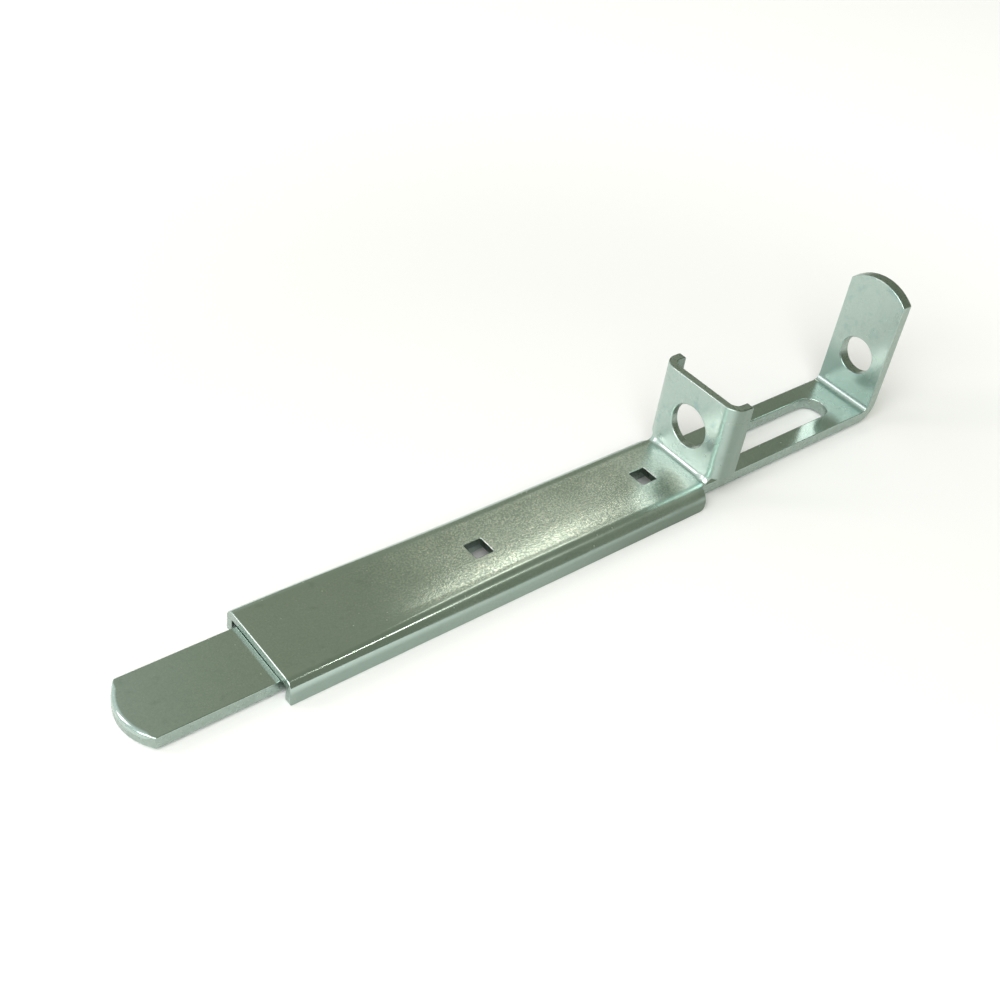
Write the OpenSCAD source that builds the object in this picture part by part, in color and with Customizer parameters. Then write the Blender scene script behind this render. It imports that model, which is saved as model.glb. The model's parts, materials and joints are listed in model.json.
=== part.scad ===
// Flat-bar slide bolt with padlock tabs, for a gate or a garage door.
// A flat bar slides in a bent-sheet housing that is bolted to the gate.
// +X runs from the bar's nose to its tab, +Z points away from the gate.
// The origin is on the mounting surface, halfway along the bar.

/* [Bar] */
// Width of the flat bar
bar_w = 25; // [20:0.5:26]
// Thickness of the flat bar
bar_t = 4.5; // [3:0.1:4.7]
// Length from the nose's tip to the back of the bar's tab
bar_len = 308; // [300:1:340]
// How far the arc of the nose stands ahead of its corners
end_rise = 5; // [2:0.5:10]
// Height of the bar tab's corners above the mounting surface
bar_tab_h = 52; // [45:0.5:70]
// Inside radius of the bar's bend
bar_bend_r = 2.5; // [1.5:0.1:5]
// Gap between the mounting surface and the underside of the bar
bar_lift = 1.1; // [0.5:0.1:1.2]

/* [Slot] */
// Width of the slot in the bar
slot_w = 11.4; // [8:0.1:12]
// Distance from the slot's rear end to the back of the bar's tab
slot_rear_in = 16.5; // [14:0.5:40]
// How far the bar draws back before the slot's front end meets the front bolt
draw_back = 45; // [30:1:50]

/* [Housing] */
// Outer width of the housing
housing_w = 36; // [34:0.5:42]
// Height of the housing above the mounting surface
housing_h = 9; // [9:0.1:11]
// Length of the housing's side flanges
housing_len = 167; // [160:1:167]
// Thickness of the sheet
sheet_t = 3; // [2:0.1:3]
// Outer radius of the long corners
corner_r = 5.7; // [4:0.1:6]
// Radius of the flanges' lower rear corners
flange_end_r = 2; // [0.5:0.1:3]
// How far the nose stands ahead of the housing at rest
nose_reach = 43.5; // [0:0.5:44]

/* [Housing tab] */
// Distance from the housing's front end to the front face of its tab
tab_in = 169.5; // [169.5:0.5:172]
// Height of the housing's tab above the mounting surface
tab_h = 41; // [36:0.5:48]
// Inside radius of the bend between the web and the tab
tab_bend_r = 2; // [1:0.1:2.5]
// Width of the sheet that carries on through the bend
bend_w = 29; // [24:0.5:29]
// Radius of the corners of the tab's flanges
tab_flange_r = 1; // [0.5:0.1:2]

/* [Holes] */
// Side of the square holes for carriage bolts
square_hole = 7; // [6:0.1:8]
// Distance from the housing's front end to the front square hole
square_in = 80; // [75:1:85]
// Distance between the square holes
square_spacing = 72; // [60:1:74]
// Diameter of the padlock hole in the housing's tab
housing_hole_d = 16; // [10:0.1:18]
// Diameter of the padlock hole in the bar's tab
bar_hole_d = 14.5; // [10:0.1:16]
// Height of both padlock holes above the mounting surface
padlock_h = 24; // [22:0.5:26]

/* [Hidden] */
$fn = 96;

// Extra depth of a cut past each face
over = 1;

// Stations along the part
nose_x = -bar_len / 2;
bar_back_x = bar_len / 2;
bar_face_x = bar_back_x - bar_t;
front_x = nose_x + nose_reach;
rear_x = front_x + housing_len;
tab_x = front_x + tab_in;
square_xs = [front_x + square_in, front_x + square_in + square_spacing];

// The slot runs between the centres of its two round ends
slot_front_x = square_xs[0] - draw_back;
slot_rear_x = bar_back_x - slot_rear_in - slot_w / 2;

// Levels above the mounting surface
bar_top = bar_lift + bar_t;
bar_bend_z = bar_top + bar_bend_r;
tab_base_z = housing_h + tab_bend_r;

// Radius of the arc across the bar's nose and across its tab
end_r = (bar_w * bar_w / 4 + end_rise * end_rise) / (2 * end_rise);

// The channel's flanges are solids of their own from here outwards. They are the same
// sheet as the web, divided at the fold so that each solid is simple.
fold_y = housing_w / 2 - corner_r;

// Outline of a strip along +Y from y = 0 to y = len, whose far end is a shallow arc.
// It is longer than the arc's radius.
module blade_outline(len) {
    arc_y = len - end_r;
    translate([-bar_w / 2, 0]) square([bar_w, arc_y]);
    intersection() {
        translate([-bar_w / 2, arc_y]) square([bar_w, end_r]);
        translate([0, arc_y]) circle(r = end_r);
    }
}

// Rectangle whose corner at [len, 0] is rounded
module rounded_end(len, height, r) {
    square([len - r, height]);
    translate([0, r]) square([len, height - r]);
    translate([len - r, r]) circle(r = r);
}

// Block under a face at y = 0, with its two upper corners rounded
module rounded_block(w, depth, r) {
    translate([-w / 2, -depth]) square([w, depth - r]);
    translate([-w / 2 + r, -depth]) square([w - 2 * r, depth]);
    for (side = [-1, 1]) translate([side * (w / 2 - r), -r]) circle(r = r);
}

// Cross-section of the housing's sheet: a U whose web has its outer face at y = 0
module u_profile() {
    difference() {
        rounded_block(housing_w, housing_h, corner_r);
        translate([0, -sheet_t])
            rounded_block(housing_w - 2 * sheet_t, housing_h, corner_r - sheet_t);
    }
}

// The part of the U between its corners
module web_profile() {
    translate([-fold_y, -sheet_t]) square([2 * fold_y, sheet_t]);
}

// The corner and flange of the U on its positive side
module flange_profile() {
    intersection() {
        u_profile();
        translate([fold_y, -housing_h]) square([housing_w, housing_h]);
    }
}

// The middle of the U, which carries on through the bend
module bend_profile() {
    intersection() {
        u_profile();
        translate([-bend_w / 2, -housing_h / 2]) square([bend_w, housing_h / 2]);
    }
}

// Turns its child's 2D profile through 90 degrees, from facing +Z to facing -X.
// The profile's y is its height above the concave face, and the axis is along Y.
module right_angle_bend(axis_x, axis_z, r) {
    translate([axis_x, 0, axis_z]) rotate([90, 0, 0]) rotate([0, 0, -90])
        rotate_extrude(angle = 90) translate([r, 0]) rotate(90) children();
}

// Extrudes its child from x = 0, the child's x along Y and its y along Z
module along_x(len) {
    rotate([90, 0, 90]) linear_extrude(len) children();
}

// The web of an inverted U-channel, with two square bolt holes, bent up at the rear into
// a tab whose own flanges turn rearwards
module housing() {
    bend_x = tab_x - tab_bend_r;
    color([0.66, 0.71, 0.65]) difference() {
        union() {
            translate([front_x, 0, housing_h]) along_x(bend_x - front_x) web_profile();
            translate([rear_x, 0, housing_h]) along_x(bend_x - rear_x) bend_profile();
            right_angle_bend(bend_x, tab_base_z, tab_bend_r) bend_profile();
            housing_tab();
        }
        for (x = square_xs)
            translate([x - square_hole / 2, -square_hole / 2, 0])
                cube([square_hole, square_hole, housing_h + over]);
        translate([tab_x - over, 0, padlock_h]) rotate([0, 90, 0])
            cylinder(d = housing_hole_d, h = sheet_t + 2 * over);
    }
}

// One of the channel's flanges, with a round lower corner at the rear.
// side is 0 for the flange at positive y and 1 for the other.
module housing_flange(side) {
    color([0.66, 0.71, 0.65]) mirror([0, side, 0]) intersection() {
        translate([front_x, 0, housing_h]) along_x(housing_len) flange_profile();
        translate([front_x, housing_w / 2, 0]) rotate([90, 0, 0])
            linear_extrude(housing_w) rounded_end(housing_len, housing_h, flange_end_r);
    }
}

// The tab, whose flanges have round rear corners at the top and the bottom
module housing_tab() {
    height = tab_h - tab_base_z;
    intersection() {
        translate([tab_x, 0, tab_base_z]) rotate([0, 0, 90])
            linear_extrude(height) u_profile();
        translate([tab_x, housing_w / 2, tab_base_z + height / 2]) rotate([90, 0, 0])
            linear_extrude(housing_w)
                for (side = [0, 1]) mirror([0, side])
                    translate([0, -height / 2])
                        rounded_end(housing_h, height / 2, tab_flange_r);
    }
}

// Flat bar with an arc nose and a long slot, bent up at the rear into a tab
module bolt_bar() {
    bend_x = bar_face_x - bar_bend_r;
    color([0.70, 0.75, 0.69]) difference() {
        union() {
            translate([bend_x, 0, bar_lift]) rotate([0, 0, 90])
                linear_extrude(bar_t) blade_outline(bend_x - nose_x);
            right_angle_bend(bend_x, bar_bend_z, bar_bend_r)
                translate([-bar_w / 2, -bar_t]) square([bar_w, bar_t]);
            translate([bar_face_x, 0, bar_bend_z])
                along_x(bar_t) blade_outline(bar_tab_h + end_rise - bar_bend_z);
        }
        slot();
        translate([bar_face_x - over, 0, padlock_h]) rotate([0, 90, 0])
            cylinder(d = bar_hole_d, h = bar_t + 2 * over);
    }
}

// Cut for the slot, with a half-round at each end
module slot() {
    translate([0, 0, bar_lift - over]) linear_extrude(bar_t + 2 * over) {
        translate([slot_front_x, -slot_w / 2]) square([slot_rear_x - slot_front_x, slot_w]);
        for (x = [slot_front_x, slot_rear_x]) translate([x, 0]) circle(d = slot_w);
    }
}

housing();
housing_flange(0);  // housing_flange_left
housing_flange(1);  // housing_flange_right
bolt_bar();
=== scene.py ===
"""Looks for the flat-bar slide bolt: two zinc-plated pieces on a pale floor.

Each piece is made the way the real one is. A flat blank with its holes is meshed in the
plane, its edges are rounded, and the blank is then bent to shape by a formula. Shapes are
worked out in millimetres and written to the mesh in metres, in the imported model's frame.
A blank has coordinates u (along), v (across) and w (depth below the upper face).
"""
import json
import math

import bpy
import numpy as np
from mathutils import Matrix, Vector
from mathutils.geometry import delaunay_2d_cdt


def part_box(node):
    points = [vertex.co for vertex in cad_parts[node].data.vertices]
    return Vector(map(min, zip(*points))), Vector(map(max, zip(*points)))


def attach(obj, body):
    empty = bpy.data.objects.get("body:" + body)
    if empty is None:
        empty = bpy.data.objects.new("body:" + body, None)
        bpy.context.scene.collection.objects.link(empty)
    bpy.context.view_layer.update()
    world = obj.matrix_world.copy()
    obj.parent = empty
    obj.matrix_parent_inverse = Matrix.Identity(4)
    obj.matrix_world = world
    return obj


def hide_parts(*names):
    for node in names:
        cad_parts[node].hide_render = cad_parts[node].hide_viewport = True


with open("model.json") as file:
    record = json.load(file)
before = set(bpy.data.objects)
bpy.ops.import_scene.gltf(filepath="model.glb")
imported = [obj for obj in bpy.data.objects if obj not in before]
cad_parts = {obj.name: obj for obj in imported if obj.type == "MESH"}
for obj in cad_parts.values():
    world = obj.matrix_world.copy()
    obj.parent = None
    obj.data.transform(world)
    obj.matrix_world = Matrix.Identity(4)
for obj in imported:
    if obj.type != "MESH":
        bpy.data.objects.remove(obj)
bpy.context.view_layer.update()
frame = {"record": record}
MM = 0.001


# ---------------------------------------------------------------- sizes from the frame

HOUSING_NODES = ("housing", "housing_flange_left", "housing_flange_right")


def box_mm(*nodes):
    """Lowest and highest corners of some CAD nodes together, in millimetres."""
    corners = np.array([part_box(node) for node in nodes]) / MM
    return corners[:, 0].min(0), corners[:, 1].max(0)


MOUNTS = {m["name"]: m for m in frame["record"]["mounts"]}


def mount_mm(name):
    """A mount's position in millimetres."""
    return np.array(MOUNTS[name]["pos_m"]) / MM


HOUSING_LOW, HOUSING_HIGH = box_mm(*HOUSING_NODES)
BAR_LOW, BAR_HIGH = box_mm("bolt_bar")
SHEET_T = MOUNTS["housing_padlock_hole"]["dims"]["length_mm"]
BAR_T = MOUNTS["bar_padlock_hole"]["dims"]["length_mm"]

HOUSING_W = HOUSING_HIGH[1] - HOUSING_LOW[1]
HOUSING_H = mount_mm("front_bolt_hole")[2]
FRONT_X = HOUSING_LOW[0]
TAB_X = HOUSING_HIGH[0] - HOUSING_H
# The sizes below that are plain numbers are the part's own, which the frame doesn't hold
CORNER_R = 5.7
TAB_BEND_R = 2.0
FLANGE_LEN = 167.0
FLANGE_END_R = 2.0
TAB_FLANGE_R = 1.0
BEND_HALF_W = 14.5
SQUARE_HOLE = 7.0

BAR_W = BAR_HIGH[1] - BAR_LOW[1]
NOSE_X = BAR_LOW[0]
BAR_FACE_X = BAR_HIGH[0] - BAR_T
BAR_TOP = BAR_LOW[2] + BAR_T
BAR_BEND_R = 2.5
END_RISE = 5.0
END_R = (BAR_W ** 2 / 4 + END_RISE ** 2) / (2 * END_RISE)
SLOT_W = 11.4
SLOT_REAR_IN = 16.5
DRAW_BACK = 45.0
SLOT_FRONT_X = mount_mm("front_bolt_hole")[0] - DRAW_BACK
SLOT_REAR_X = BAR_HIGH[0] - SLOT_REAR_IN - SLOT_W / 2

# Detail that only the visual model has: the radius of a sheared corner and of a torn one,
# and the radii of the edges above, round the holes for padlocks, and below
SHEARED_CORNER_R = 0.5
TORN_CORNER_R = 1.2
SHEET_EDGE_R = 0.35
LOWER_EDGE_R = 0.2
PADLOCK_EDGE_R = 0.5


# ---------------------------------------------------------------- flat outlines

def sampled(points, step=0.5):
    """Closed loop through points, with its long edges cut into steps."""
    out = []
    for a, b in zip(points, np.roll(points, -1, axis=0)):
        n = max(1, int(round(np.linalg.norm(b - a) / step)))
        out.extend(a + (b - a) * k / n for k in range(n))
    return np.array(out)


def filleted(corners, segments=6):
    """Points of a polygon whose corners (x, y, radius) are rounded."""
    pts = np.array([c[:2] for c in corners], float)
    out = []
    for i, (x, y, r) in enumerate(corners):
        here = pts[i]
        if r <= 0:
            out.append(here)
            continue
        a = pts[i - 1] - here
        b = pts[(i + 1) % len(pts)] - here
        a /= np.linalg.norm(a)
        b /= np.linalg.norm(b)
        half = math.acos(max(-1.0, min(1.0, float(a @ b)))) / 2
        reach = r / math.tan(half)
        centre = here + (a + b) / np.linalg.norm(a + b) * r / math.sin(half)
        start = here + a * reach - centre
        end = here + b * reach - centre
        turn = math.atan2(start[0] * end[1] - start[1] * end[0], float(start @ end))
        for k in range(segments + 1):
            t = turn * k / segments
            c, s = math.cos(t), math.sin(t)
            out.append(centre + (start[0] * c - start[1] * s, start[0] * s + start[1] * c))
    return np.array(out)


def ring(cx, cy, r, n=72):
    """Clockwise circle, for a hole."""
    t = -np.linspace(0, 2 * np.pi, n, endpoint=False)
    return np.stack([cx + r * np.cos(t), cy + r * np.sin(t)], 1)


def square_ring(cx, cy, side, r):
    """Clockwise square with rounded corners, for a hole."""
    h = side / 2
    return sampled(filleted([(cx - h, cy - h, r), (cx - h, cy + h, r),
                             (cx + h, cy + h, r), (cx + h, cy - h, r)]))


def slot_ring(x0, x1, width, n=28):
    """Clockwise slot along u with half-round ends."""
    r = width / 2
    t = np.linspace(0, np.pi, n)
    rear = np.stack([x1 + r * np.sin(t), r * np.cos(t)], 1)
    front = np.stack([x0 - r * np.sin(t), -r * np.cos(t)], 1)
    return sampled(np.concatenate([rear, front]), 1.0)


def left_normals(loop):
    """Unit normals to the left of a loop, stretched at corners so that offsets stay parallel."""
    before = loop - np.roll(loop, 1, axis=0)
    after = np.roll(loop, -1, axis=0) - loop
    before /= np.linalg.norm(before, axis=1)[:, None]
    after /= np.linalg.norm(after, axis=1)[:, None]
    n0 = np.stack([-before[:, 1], before[:, 0]], 1)
    n1 = np.stack([-after[:, 1], after[:, 0]], 1)
    mid = n0 + n1
    mid /= np.linalg.norm(mid, axis=1)[:, None]
    return mid / np.maximum(0.5, (mid * n0).sum(1))[:, None]


def inside(points, loops):
    """Which points are inside an odd number of loops."""
    odd = np.zeros(len(points), bool)
    x, y = points[:, 0], points[:, 1]
    for loop in loops:
        for (x0, y0), (x1, y1) in zip(loop, np.roll(loop, -1, axis=0)):
            if y0 == y1:
                continue
            crosses = (y0 > y) != (y1 > y)
            odd ^= crosses & (x < (x1 - x0) * (y - y0) / (y1 - y0) + x0)
    return odd


def far_from(points, loops, gap):
    """Which points are further than gap from every loop point."""
    keep = np.ones(len(points), bool)
    for loop in loops:
        for p in loop:
            keep &= ((points - p) ** 2).sum(1) > gap * gap
    return keep


# ---------------------------------------------------------------- blank to mesh

# Steps in each quarter circle of a rounded edge
ROUND_STEPS = 5
# Least distance between a face's grid points and its rims
GRID_GAP = 0.4
# Material slots: the plated faces, and the sheared middle of each edge
FACE = 0
SHEARED = 1


def filled_face(rims, grid_u, grid_v):
    """Triangulates the area between closed rims, with the grid's points inside it.

    Returns its (n, 2) points, its triangles, and a map from each rim point to its point.
    """
    gu, gv = np.meshgrid(grid_u, grid_v)
    cells = np.stack([gu.ravel(), gv.ravel()], 1)
    cells = cells[inside(cells, rims)]
    cells = cells[far_from(cells, rims, GRID_GAP)]
    given = [Vector(p) for p in np.concatenate(rims + [cells])]
    edges = []
    start = 0
    for rim in rims:
        n = len(rim)
        edges += [(start + k, start + (k + 1) % n) for k in range(n)]
        start += n
    verts, _, tris, origin, _, _ = delaunay_2d_cdt(given, edges, [], 0, 1e-6)
    flat = np.array([tuple(v) for v in verts])
    tris = np.array(tris)
    tris = tris[inside(flat[tris].mean(1), rims)]
    place = {source: i for i, sources in enumerate(origin) for source in sources}
    return flat, tris, place


def edge_rows(loop, normal, radii, thick):
    """Rows of points round a loop's rounded edge, from the upper face down, with their normals."""
    unit = normal / np.linalg.norm(normal, axis=1)[:, None]
    quarter = [math.pi / 2 * s / ROUND_STEPS for s in range(1, ROUND_STEPS + 1)]
    rows = []
    for side, turns in ((0, quarter), (1, reversed(quarter))):
        r = np.broadcast_to(radii[side], len(loop))
        for t in turns:
            at = loop + normal * (r * (1 - math.sin(t)))[:, None]
            depth = r * (1 - math.cos(t))
            w = thick - depth if side else depth
            face_on = np.full(len(loop), (2 * side - 1) * math.cos(t))
            rows.append((np.column_stack([at, w]), np.column_stack([-unit * math.sin(t), face_on])))
    return rows


def turned_normals(points, outward, bend):
    """Normals after the bend, from the blank's normals and the bend's slopes."""
    h = 0.01
    slopes = [(bend(points + h * e) - bend(points - h * e)) / (2 * h) for e in np.eye(3)]
    turned = np.einsum("nji,nj->ni", np.linalg.inv(np.stack(slopes, 2)), outward)
    return turned / np.linalg.norm(turned, axis=1)[:, None]


def mesh_object(name, points_mm, normals, faces):
    """Object from points, point normals and faces, each face with its material slot."""
    mesh = bpy.data.meshes.new(name)
    mesh.from_pydata((points_mm * MM).tolist(), [], [f for f, _ in faces])
    for poly, (_, slot) in zip(mesh.polygons, faces):
        poly.material_index = slot
        poly.use_smooth = True
    inward = [p.index for p in mesh.polygons
              if p.normal.dot(Vector(normals[list(p.vertices)].mean(0))) < 0]
    for i in inward:
        mesh.polygons[i].flip()
    mesh.update()
    mesh.normals_split_custom_set_from_vertices(normals.tolist())
    obj = bpy.data.objects.new(name, mesh)
    bpy.context.scene.collection.objects.link(obj)
    return obj


def blank_mesh(name, loops, radii, thick, grid_u, grid_v, bend):
    """Meshes a blank of that thickness, rounds its edges and bends it.

    loops: outline first, anticlockwise, then holes, clockwise. radii: for each loop its
    edge radius above, one number for each point or one for all, and its radius below.
    bend: function from (n, 3) blank coordinates to (n, 3) positions.
    """
    normals = [left_normals(loop) for loop in loops]
    blank = []
    outward = []
    faces = []
    rim_places = []
    for side in (0, 1):
        rims = [loop + n * np.broadcast_to(r[side], len(loop))[:, None]
                for loop, n, r in zip(loops, normals, radii)]
        flat, tris, place = filled_face(rims, grid_u, grid_v)
        base = sum(len(b) for b in blank)
        blank.append(np.column_stack([flat, np.full(len(flat), thick * side)]))
        outward.append(np.tile([0.0, 0.0, 2.0 * side - 1.0], (len(flat), 1)))
        faces += [(tuple(int(k) + base for k in t), FACE) for t in tris]
        rim_places.append({source: base + i for source, i in place.items()})
    start = 0
    for loop, normal, r in zip(loops, normals, radii):
        n = len(loop)
        above, below = ([place[start + k] for k in range(n)] for place in rim_places)
        rows = [above]
        for points, facing in edge_rows(loop, normal, r, thick):
            base = sum(len(b) for b in blank)
            blank.append(points)
            outward.append(facing)
            rows.append(range(base, base + n))
        rows.append(below)
        for j, (a, b) in enumerate(zip(rows, rows[1:])):
            slot = SHEARED if j == ROUND_STEPS else FACE
            for k in range(n):
                after = (k + 1) % n
                faces.append(((a[k], a[after], b[after], b[k]), slot))
        start += n
    blank = np.concatenate(blank)
    turned = turned_normals(blank, np.concatenate(outward), bend)
    return mesh_object(name, bend(blank), turned, faces)


def smooth(x, a, b):
    """0 below a, 1 above b, with a smooth rise between them."""
    t = np.clip((x - a) / (b - a), 0, 1)
    return t * t * (3 - 2 * t)


def bump(u, v, at_u, at_v, size_u, size_v):
    """A round swelling of height 1."""
    return np.exp(-((u - at_u) / size_u) ** 2 - ((v - at_v) / size_v) ** 2)


def right_angle(along, y, depth, start_x, top_z, bend_from, r):
    """Bends a section up through 90 degrees at bend_from, round an axis above its top face."""
    bend_len = r * math.pi / 2
    phi = np.clip((along - bend_from) / r, 0, math.pi / 2)
    axis_x = start_x + bend_from
    axis_z = top_z + r
    before = np.minimum(along - bend_from, 0)
    past = np.maximum(along - bend_from - bend_len, 0)
    x = axis_x + before + (r + depth) * np.sin(phi)
    z = axis_z + past - (r + depth) * np.cos(phi)
    return np.stack([x, y, z], 1)


# ---------------------------------------------------------------- housing

WEB_HALF = HOUSING_W / 2 - CORNER_R
ARC_LEN = CORNER_R * math.pi / 2
HALF_GIRTH = WEB_HALF + ARC_LEN + HOUSING_H - CORNER_R
TAB_BEND_U = TAB_X - TAB_BEND_R - FRONT_X
TAB_START_U = TAB_BEND_U + TAB_BEND_R * math.pi / 2
TAB_TOP_U = TAB_START_U + HOUSING_HIGH[2] - HOUSING_H - TAB_BEND_R

# The long corners are tighter at the front, and grow to their full radius between two
# places along u
FRONT_TIGHTER_R = 2.2
FULL_R_U = (5, 90)
# The web's crown: its height at the front and the rear, its share on the far side, where
# along u it grows and dies away, and where across the web it starts and creases
CROWN_FRONT = 0.06
CROWN_REAR = 0.19
CROWN_FAR_SHARE = 0.2
CROWN_GROWS_U = (25, 90)
CROWN_ENDS_U = (158, 167)
CROWN_FROM_V = 3
CREASE_Y = 11.0
# Dents in the web ahead of the bend: depth, then place and size along u and v
DENTS = ((0.07, 158, -5, 6, 6), (0.05, 147, 7, 8, 6))
WAVE_HEIGHT = 0.03
# How far the metal is crushed where the bend meets each corner, and where that is
CRUSH_DEPTH = 0.45
CRUSH_SPOT = (TAB_BEND_U + 1.6, 12.2, 1.6, 2.2)


def housing_shape(p):
    """Folds the housing's blank into its U section, then bends the tab up."""
    u, v, w = p.T
    off = np.abs(v)
    side = np.sign(v)
    r = CORNER_R - FRONT_TIGHTER_R * (1 - smooth(u, *FULL_R_U))
    half = HOUSING_W / 2 - r
    arc = r * math.pi / 2
    flange_scale = (HOUSING_H - r) / (HALF_GIRTH - half - arc)
    theta = np.clip((off - half) / r, 0, math.pi / 2)
    # the crown rises to a soft crease
    crown = CROWN_FRONT + (CROWN_REAR - CROWN_FRONT) * smooth(u, *CROWN_GROWS_U)
    crown *= (1 - smooth(u, *CROWN_ENDS_U)) * np.where(v < 0, 1.0, CROWN_FAR_SHARE)
    to_crease = np.clip((off - CROWN_FROM_V) / (CREASE_Y - CROWN_FROM_V), 0, 1)
    lift = crown * to_crease ** 2 * np.cos(theta) ** 2
    # the dents and the waviness keep to the flat part of the web
    flat = (1 - smooth(off, WEB_HALF - 2, WEB_HALF + 3)) * (1 - smooth(u, 163, 168))
    for depth, *spot in DENTS:
        lift += flat * depth * bump(u, v, *spot)
    lift += flat * WAVE_HEIGHT * np.sin(u / 11.0) * np.cos(v / 7.0)
    lift -= CRUSH_DEPTH * bump(u, off, *CRUSH_SPOT)
    w = w + lift
    past = np.maximum(off - half - arc, 0) * flange_scale
    y = side * (np.minimum(off, half) + (r - w) * np.sin(theta))
    depth = np.where(off > half, r - (r - w) * np.cos(theta) + past, w)
    return right_angle(u, y, depth, FRONT_X, HOUSING_H, TAB_BEND_U, TAB_BEND_R)


def housing_outline():
    """Outline of the housing's blank, whose edge steps in to the bend and out to the tab."""
    g = HALF_GIRTH
    theta = math.asin((BEND_HALF_W - WEB_HALF) / CORNER_R)
    bend_v = WEB_HALF + theta * CORNER_R
    near = [(0, -g, SHEARED_CORNER_R),
            (FLANGE_LEN, -g, FLANGE_END_R),
            (FLANGE_LEN, -bend_v, TORN_CORNER_R),
            (TAB_START_U, -bend_v, TORN_CORNER_R),
            (TAB_START_U, -g, TAB_FLANGE_R),
            (TAB_TOP_U, -g, TAB_FLANGE_R)]
    far = [(x, -y, r) for x, y, r in reversed(near)]
    return sampled(filleted(near + far))


def spread(lo, hi, step):
    """Evenly spaced values from lo to hi."""
    return np.linspace(lo, hi, max(2, int(round((hi - lo) / step)) + 1))


def housing_piece():
    """The sheet with its holes, meshed finely along its bend, corners and creases."""
    squares = [mount_mm(n)[0] - FRONT_X for n in ("front_bolt_hole", "rear_bolt_hole")]
    hole = MOUNTS["housing_padlock_hole"]
    hole_u = TAB_START_U + mount_mm("housing_padlock_hole")[2] - HOUSING_H - TAB_BEND_R
    loops = [housing_outline()]
    loops += [square_ring(x, 0, SQUARE_HOLE, SHEARED_CORNER_R) for x in squares]
    loops += [ring(hole_u, 0, hole["dims"]["r_mm"])]
    radii = [(SHEET_EDGE_R, 0.25)]
    radii += [(SHEET_EDGE_R, LOWER_EDGE_R) for _ in squares]
    radii += [(PADLOCK_EDGE_R, LOWER_EDGE_R)]
    grid_u = np.concatenate([spread(1, TAB_BEND_U - 3, 1.4),
                             spread(TAB_BEND_U - 2.2, TAB_START_U + 0.6, 0.3),
                             spread(TAB_START_U + 1.4, TAB_TOP_U - 0.8, 1.2)])
    corner = spread(WEB_HALF - 0.6, WEB_HALF + ARC_LEN + 0.5, 0.35)
    crease = CREASE_Y + np.array([-0.35, 0.0, 0.35])
    web = np.concatenate([-crease, spread(-CREASE_Y + 1, CREASE_Y - 1, 1.2), crease])
    grid_v = np.concatenate([-corner[::-1], web, corner,
                             [HALF_GIRTH - 1.4], [-HALF_GIRTH + 1.4]])
    return blank_mesh("housing_sheet", loops, radii, SHEET_T, grid_u, grid_v, housing_shape)


# ---------------------------------------------------------------- bar

BAR_BEND_U = BAR_FACE_X - BAR_BEND_R - NOSE_X
BAR_TAB_U = BAR_BEND_U + BAR_BEND_R * math.pi / 2
BAR_END_U = BAR_TAB_U + BAR_HIGH[2] - BAR_TOP - BAR_BEND_R
BAR_WAVE_HEIGHT = 0.04
NOSE_BEVEL = 1.25


def bar_shape(p):
    """Bends the bar's blank, which is slightly wavy between its ends, up into its tab."""
    u, v, w = p.T
    fade = smooth(u, 2, 30) * (1 - smooth(u, BAR_BEND_U - 25, BAR_BEND_U))
    lift = BAR_WAVE_HEIGHT * np.sin(u / 17.0 + 1.0) * np.cos(v / 9.0) * fade
    return right_angle(u, v, w + lift, NOSE_X, BAR_TOP, BAR_BEND_U, BAR_BEND_R)


def bar_outline():
    """Outline of the bar's blank, with a shallow arc at each end."""
    half = math.asin(BAR_W / 2 / END_R)
    t = np.linspace(half, -half, 41)
    nose = [(END_R - END_R * math.cos(a), END_R * math.sin(a), 0) for a in t]
    tail = [(BAR_END_U - x, -y, 0) for x, y, _ in nose]
    for arc in (nose, tail):
        for i in (0, -1):
            arc[i] = arc[i][:2] + (SHEARED_CORNER_R,)
    return sampled(filleted(nose + tail))


def bar_piece():
    """The bar with its slot and hole, meshed finely along its bend."""
    outline = bar_outline()
    # the nose has a broad bevel above, which dies away at its corners
    off = np.abs(outline[:, 1])
    nose = NOSE_BEVEL * (1 - smooth(outline[:, 0], END_RISE - 1.2, END_RISE))
    nose *= 1 - smooth(off, 9.5, 12)
    hole = MOUNTS["bar_padlock_hole"]
    hole_u = BAR_TAB_U + mount_mm("bar_padlock_hole")[2] - BAR_TOP - BAR_BEND_R
    loops = [outline,
             slot_ring(SLOT_FRONT_X - NOSE_X, SLOT_REAR_X - NOSE_X, SLOT_W),
             ring(hole_u, 0, hole["dims"]["r_mm"])]
    radii = [(0.3 + nose, 0.3), (0.4, LOWER_EDGE_R), (PADLOCK_EDGE_R, LOWER_EDGE_R)]
    grid_u = np.concatenate([spread(1, BAR_BEND_U - 2, 1.6),
                             spread(BAR_BEND_U - 1.2, BAR_TAB_U + 0.8, 0.35),
                             spread(BAR_TAB_U + 1.6, BAR_END_U - 1, 1.4)])
    grid_v = spread(-BAR_W / 2 + 1, BAR_W / 2 - 1, 1.4)
    return blank_mesh("bar_blade", loops, radii, BAR_T, grid_u, grid_v, bar_shape)


# ---------------------------------------------------------------- materials

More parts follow.
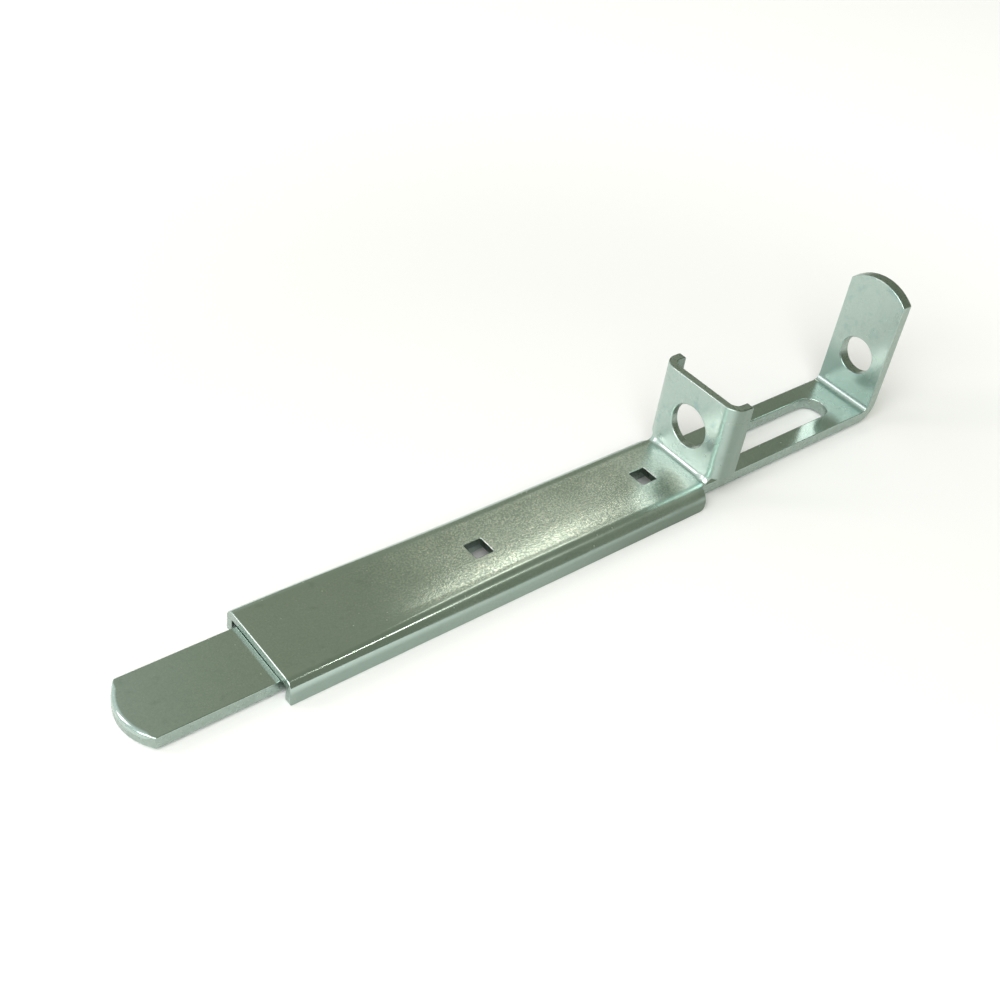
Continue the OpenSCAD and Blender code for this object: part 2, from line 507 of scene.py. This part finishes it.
class Nodes:
    """Short calls for building a material's node tree."""

    def __init__(self, name):
        self.material = bpy.data.materials.new(name)
        self.material.use_nodes = True
        self.tree = self.material.node_tree
        self.shader = self.tree.nodes["Principled BSDF"]
        self.object_xyz = self.add("ShaderNodeTexCoord").outputs["Object"]

    def add(self, kind, **values):
        node = self.tree.nodes.new(kind)
        for key, value in values.items():
            setattr(node, key, value)
        return node

    def link(self, out, into):
        self.tree.links.new(out, into)

    def position_xyz(self):
        """The X, Y and Z of a point in the shared frame, in metres."""
        node = self.add("ShaderNodeSeparateXYZ")
        self.link(self.object_xyz, node.inputs[0])
        return node.outputs["X"], node.outputs["Y"], node.outputs["Z"]

    def texture(self, kind, size_mm):
        """A texture node whose pattern repeats about every size_mm."""
        place = self.add("ShaderNodeMapping")
        place.inputs["Scale"].default_value = [1 / (size_mm * MM)] * 3
        self.link(self.object_xyz, place.inputs["Vector"])
        node = self.add(kind)
        node.inputs["Scale"].default_value = 1.0
        self.link(place.outputs["Vector"], node.inputs["Vector"])
        return node

    def noise(self, size_mm, detail=3.0):
        """Noise from 0 to 1 whose blobs are about size_mm across."""
        node = self.texture("ShaderNodeTexNoise", size_mm)
        node.inputs["Detail"].default_value = detail
        return node.outputs["Fac"]

    def cells(self, size_mm):
        """Distance to the nearest of random points about size_mm apart."""
        return self.texture("ShaderNodeTexVoronoi", size_mm).outputs["Distance"]

    def ramp(self, source, lo, hi, out_lo=0.0, out_hi=1.0):
        """Maps lo..hi of source smoothly to out_lo..out_hi."""
        node = self.add("ShaderNodeMapRange", interpolation_type="SMOOTHSTEP")
        limits = {"From Min": lo, "From Max": hi, "To Min": out_lo, "To Max": out_hi}
        for key, value in limits.items():
            node.inputs[key].default_value = value
        self.link(source, node.inputs["Value"])
        return node.outputs["Result"]

    def ramp_mm(self, source, lo, hi, out_lo=0.0, out_hi=1.0):
        """As ramp, for a source in metres, with lo and hi in millimetres."""
        return self.ramp(source, lo * MM, hi * MM, out_lo, out_hi)

    def math(self, kind, a, b):
        node = self.add("ShaderNodeMath", operation=kind)
        for value, socket in ((a, node.inputs[0]), (b, node.inputs[1])):
            if isinstance(value, (int, float)):
                socket.default_value = value
            else:
                self.link(value, socket)
        return node.outputs["Value"]

    def times(self, a, b):
        return self.math("MULTIPLY", a, b)

    def unsigned(self, a):
        return self.math("ABSOLUTE", a, 0.0)

    def mix(self, factor, a, b):
        """Colour a where factor is 0 and b where it is 1, by the Mix node's colour sockets."""
        node = self.add("ShaderNodeMix", data_type="RGBA")
        self.link(factor, node.inputs["Factor"])
        for value, index in ((a, 6), (b, 7)):
            if isinstance(value, tuple):
                node.inputs[index].default_value = value
            else:
                self.link(value, node.inputs[index])
        return node.outputs[2]

    def bumped(self, height, strength, distance_mm, below=None):
        """Normal with that height's bumps, on top of the normal below."""
        node = self.add("ShaderNodeBump")
        node.inputs["Strength"].default_value = strength
        node.inputs["Distance"].default_value = distance_mm * MM
        self.link(height, node.inputs["Height"])
        if below is not None:
            self.link(below, node.inputs["Normal"])
        return node.outputs["Normal"]


# Base colours of the zinc plate and of its sheared edges, and of the painted glints and painted
# shade on the plate
PLATE_DARK = (0.42, 0.54, 0.485, 1)
PLATE_LIGHT = (0.50, 0.61, 0.56, 1)
CLOUD = (0.41, 0.51, 0.47, 1)
BLUISH = (0.30, 0.46, 0.46, 1)
SPECK = (0.74, 0.80, 0.70, 1)
CRYSTAL_DARK = (0.33, 0.42, 0.37, 1)
CRYSTAL_LIGHT = (0.72, 0.79, 0.70, 1)
# painted highlight: the colour of the painted glints on the web
PAINTED_GLINT = (0.90, 0.95, 0.86, 1)
# painted shade: the colour of the painted shade on the flanges and the tab's outer faces
PAINTED_SHADE = (0.16, 0.21, 0.165, 1)
# painted shade: the colour of the painted shade on the lower front of the bar's tab
TAB_PAINTED_SHADE = (0.28, 0.39, 0.35, 1)
TORN_DARK = (0.29, 0.37, 0.32, 1)
TORN_LIGHT = (0.41, 0.49, 0.44, 1)


def painted_shade_share(n, x, z, across, painted_shade_z):
    """Painted shade on the flanges: most near their lower edges, at the rear and on the tab."""
    low = n.ramp_mm(z, painted_shade_z[1], painted_shade_z[0])
    flanges = n.times(low, n.ramp_mm(x, -30, 45, 0.52, 0.95))
    outer = n.ramp_mm(across, WEB_HALF + 0.5, WEB_HALF + 2)
    on_tab = n.ramp_mm(x, TAB_X + 0.5, TAB_X + 3, 0.0, 0.7)
    return n.math("MAXIMUM", flanges, n.times(outer, on_tab))


def zinc(name, bend_x, coarse_x, painted_shade_z=None, tab_painted_shade_z=None):
    """Clear zinc plate: greenish, semi-bright, faintly mottled, with fine grain and specks.

    bend_x: where along X the sheet is bent, and the plate stained. coarse_x: between which
    two places along X it turns coarse, and between which two it turns smooth again, with
    the higher X first. painted_shade_z: painted shade darkens it from the second of these
    heights down to the first, and on the outside of the tab's flanges. tab_painted_shade_z:
    painted shade darkens the tab's front from the second of these heights down to the first. All
    are in millimetres.
    """
    n = Nodes(name)
    n.shader.inputs["Metallic"].default_value = 1.0
    x, y, z = n.position_xyz()
    across = n.unsigned(y)
    from_bend = n.unsigned(n.math("SUBTRACT", x, bend_x * MM))
    coarse = n.times(n.ramp_mm(x, *coarse_x[:2]), n.ramp_mm(x, *coarse_x[2:]))

    # broad mottling, small clouds, bluish stains near the bend, and bright specks
    tone = n.mix(n.noise(22), PLATE_DARK, PLATE_LIGHT)
    tone = n.mix(n.ramp(n.noise(3.5), 0.55, 0.8), tone, CLOUD)
    stains = n.ramp(n.noise(4, 2), 0.55, 0.75, 0.0, 0.6)
    tone = n.mix(n.times(n.ramp_mm(from_bend, 11, 0), stains), tone, BLUISH)
    specks = n.times(n.ramp(n.cells(2.6), 0.10, 0.05), n.ramp(n.noise(8, 1), 0.52, 0.58))
    tone = n.mix(specks, tone, SPECK)

    # crystals of the coarse plate, and painted glints (painted highlights) on it, mostly within the
    # web's creases
    crystal = n.ramp(n.noise(0.65, 2), 0.38, 0.62)
    on_web = n.ramp_mm(across, CREASE_Y + 2.5, CREASE_Y, 0.2, 1.0)
    crystal_share = n.times(n.ramp(coarse, 0, 1, 0.08, 0.5), on_web)
    tone = n.mix(crystal_share, tone, n.mix(crystal, CRYSTAL_DARK, CRYSTAL_LIGHT))
    painted_glints = n.times(n.ramp(n.cells(0.9), 0.34, 0.16), n.ramp(n.noise(5, 2), 0.40, 0.60))
    tone = n.mix(n.times(painted_glints, n.times(crystal_share, 1.5)), tone, PAINTED_GLINT)

    # painted shade: darker near the flanges' lower edges, towards the rear and on the outside of
    # the tab
    if painted_shade_z:
        tone = n.mix(painted_shade_share(n, x, z, across, painted_shade_z), tone, PAINTED_SHADE)
    # painted shade on the lower part of the tab's front face
    if tab_painted_shade_z:
        low = n.ramp_mm(z, tab_painted_shade_z[1], tab_painted_shade_z[0])
        on_front = n.ramp_mm(from_bend, 1.2, 0.2)
        tone = n.mix(n.times(low, on_front), tone, TAB_PAINTED_SHADE)
    n.link(tone, n.shader.inputs["Base Color"])

    # rougher where it is coarse, near the bend and on the specks
    rough = n.ramp(n.noise(12, 2), 0.3, 0.7, -0.015, 0.025)
    rough = n.math("ADD", n.ramp(coarse, 0, 1, 0.13, 0.23), rough)
    rough = n.math("ADD", rough, n.ramp_mm(from_bend, 30, 6, 0.0, 0.13))
    rough = n.math("ADD", rough, n.times(specks, 0.2))
    n.link(rough, n.shader.inputs["Roughness"])
    pitted = n.bumped(n.times(crystal, crystal_share), 0.5, 0.02)
    n.link(n.bumped(n.noise(4.0, 1), 0.5, 0.02, pitted), n.shader.inputs["Normal"])
    return n.material


def sheared(name):
    """Sheared edge under zinc: darker and rougher than the faces, with fine tearing."""
    n = Nodes(name)
    n.shader.inputs["Metallic"].default_value = 1.0
    n.link(n.mix(n.noise(2.0), TORN_DARK, TORN_LIGHT), n.shader.inputs["Base Color"])
    n.link(n.ramp(n.noise(1.5), 0.3, 0.7, 0.24, 0.38), n.shader.inputs["Roughness"])
    n.link(n.bumped(n.noise(0.8), 0.9, 0.07), n.shader.inputs["Normal"])
    return n.material


housing = housing_piece()
bar = bar_piece()
edge = sheared("zinc_sheared_edge")
HOUSING_COARSE_X = (FRONT_X + 20, FRONT_X + 80, TAB_X, TAB_X - 15)
# The bar is nearly fine all over: it would turn fully coarse only far past its end
BAR_COARSE_X = (NOSE_X, 4 * BAR_FACE_X, BAR_FACE_X, 0)
# the housing gets painted shade on its flanges, and the bar gets painted shade on the lower front
# of its tab
finishes = {"housing": zinc("housing_zinc", TAB_X, HOUSING_COARSE_X, painted_shade_z=(4.0, 7.0)),
            "bolt_bar": zinc("bar_zinc", BAR_FACE_X, BAR_COARSE_X, tab_painted_shade_z=(16.0, 27.0))}
for piece, body, nodes, slot in ((housing, "housing", HOUSING_NODES, "housing_zinc"),
                                 (bar, "bolt_bar", ("bolt_bar",), "bar_zinc")):
    piece.data.materials.append(finishes[body])
    piece.data.materials.append(edge)
    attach(piece, body)
    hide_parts(*nodes)


# ---------------------------------------------------------------- camera

CAMERA_AZIMUTH = math.radians(-44.15)
CAMERA_HEIGHT_ANGLE = math.radians(40.15)
CAMERA_ROLL = math.radians(9.24)
CAMERA_TARGET = Vector((-0.00265, 0.02263, 0.0))
CAMERA_DISTANCE = 0.4611
CAMERA_LENS = 48.543

back = Vector((math.sin(CAMERA_AZIMUTH) * math.cos(CAMERA_HEIGHT_ANGLE),
               -math.cos(CAMERA_AZIMUTH) * math.cos(CAMERA_HEIGHT_ANGLE),
               math.sin(CAMERA_HEIGHT_ANGLE)))
level_right = (-back).cross(Vector((0, 0, 1))).normalized()
level_up = level_right.cross(-back)
right = level_right * math.cos(CAMERA_ROLL) + level_up * math.sin(CAMERA_ROLL)
up = level_up * math.cos(CAMERA_ROLL) - level_right * math.sin(CAMERA_ROLL)
turn = Matrix((right, up, back)).transposed().to_4x4()
camera = bpy.data.objects.new("camera", bpy.data.cameras.new("camera"))
camera.data.sensor_width = 36.0
camera.data.lens = CAMERA_LENS
camera.data.clip_start = 0.01
camera.data.clip_end = 50.0
camera.matrix_world = Matrix.Translation(CAMERA_TARGET + back * CAMERA_DISTANCE) @ turn
bpy.context.scene.collection.objects.link(camera)
bpy.context.scene.camera = camera


# ---------------------------------------------------------------- floor and light

LIGHT_DISTANCE = 1.6
WHITE = (1.0, 1.0, 1.0)
WARM = (1.0, 0.94, 0.86)
YELLOWISH = (1.0, 0.92, 0.84)
PINKISH = (1.0, 0.74, 0.80)


def floor():
    """A plain pale floor under the housing's flanges."""
    half = 4.0
    mesh = bpy.data.meshes.new("floor")
    corners = [(-half, -half, 0), (half, -half, 0), (half, half, 0), (-half, half, 0)]
    mesh.from_pydata(corners, [], [(0, 1, 2, 3)])
    obj = bpy.data.objects.new("floor", mesh)
    n = Nodes("floor")
    n.shader.inputs["Base Color"].default_value = (0.93, 0.93, 0.93, 1)
    n.shader.inputs["Roughness"].default_value = 0.9
    n.shader.inputs["Specular IOR Level"].default_value = 0.1
    # far from the object it glows a little, so that it stays white in the background
    n.shader.inputs["Emission Color"].default_value = (1.0, 1.0, 1.0, 1.0)
    distance = n.add("ShaderNodeVectorMath", operation="LENGTH")
    n.link(n.object_xyz, distance.inputs[0])
    glow = n.ramp_mm(distance.outputs["Value"], 140, 420, 0.0, 0.2)
    n.link(glow, n.shader.inputs["Emission Strength"])
    mesh.materials.append(n.material)
    bpy.context.scene.collection.objects.link(obj)


def soft_light(name, direction, size, radiance, long_axis=(0, 0, 1), tint=WHITE):
    """A rectangular light that faces the object, with its second side along long_axis."""
    data = bpy.data.lights.new(name, "AREA")
    data.shape = "RECTANGLE"
    data.size, data.size_y = size
    data.energy = radiance * math.pi * size[0] * size[1]
    data.color = tint
    obj = bpy.data.objects.new(name, data)
    away = Vector(direction).normalized()
    side = Vector(long_axis).cross(away).normalized()
    turn = Matrix((side, away.cross(side), away)).transposed().to_4x4()
    obj.matrix_world = Matrix.Translation(away * LIGHT_DISTANCE) @ turn
    bpy.context.scene.collection.objects.link(obj)


def room():
    """A dim room that is bright on one side, towards -X and +Y."""
    world = bpy.data.worlds.new("room")
    world.use_nodes = True
    tree = world.node_tree
    coord = tree.nodes.new("ShaderNodeTexCoord")
    facing = tree.nodes.new("ShaderNodeVectorMath")
    facing.operation = "DOT_PRODUCT"
    facing.inputs[1].default_value = (-0.76, 0.6, 0.2)
    tree.links.new(coord.outputs["Generated"], facing.inputs[0])
    share = tree.nodes.new("ShaderNodeMapRange")
    share.inputs["From Min"].default_value = -1
    tree.links.new(facing.outputs["Value"], share.inputs["Value"])
    shade = tree.nodes.new("ShaderNodeValToRGB")
    tree.links.new(share.outputs["Result"], shade.inputs["Fac"])
    stops = shade.color_ramp.elements
    stops[0].position = 0.42
    stops[0].color = (0.27, 0.285, 0.222, 1)
    stops[1].position = 0.88
    stops[1].color = (0.95, 1.0, 1.0, 1)
    middle = stops.new(0.62)
    middle.color = (0.36, 0.365, 0.28, 1)
    tree.links.new(shade.outputs["Color"], tree.nodes["Background"].inputs["Color"])
    bpy.context.scene.world = world


floor()
room()
soft_light("corner_strip", (0.415, -0.365, 0.833), (0.025, 0.26), 30, (0.90, 0.18, -0.40), WARM)
soft_light("rear_panel", (0.515, 0.43, 0.74), (0.13, 0.21), 5.8, (0.8, -0.27, -0.44), YELLOWISH)
soft_light("side_panel", (-0.70, 0.50, 0.50), (0.35, 0.8), 4.4, tint=PINKISH)
soft_light("nose_panel", (-0.86, -0.05, 0.51), (0.3, 0.4), 5)
soft_light("key", (-0.7, -0.5, 0.9), (1.2, 1.2), 4.6)
bpy.context.scene.view_settings.view_transform = "Standard"
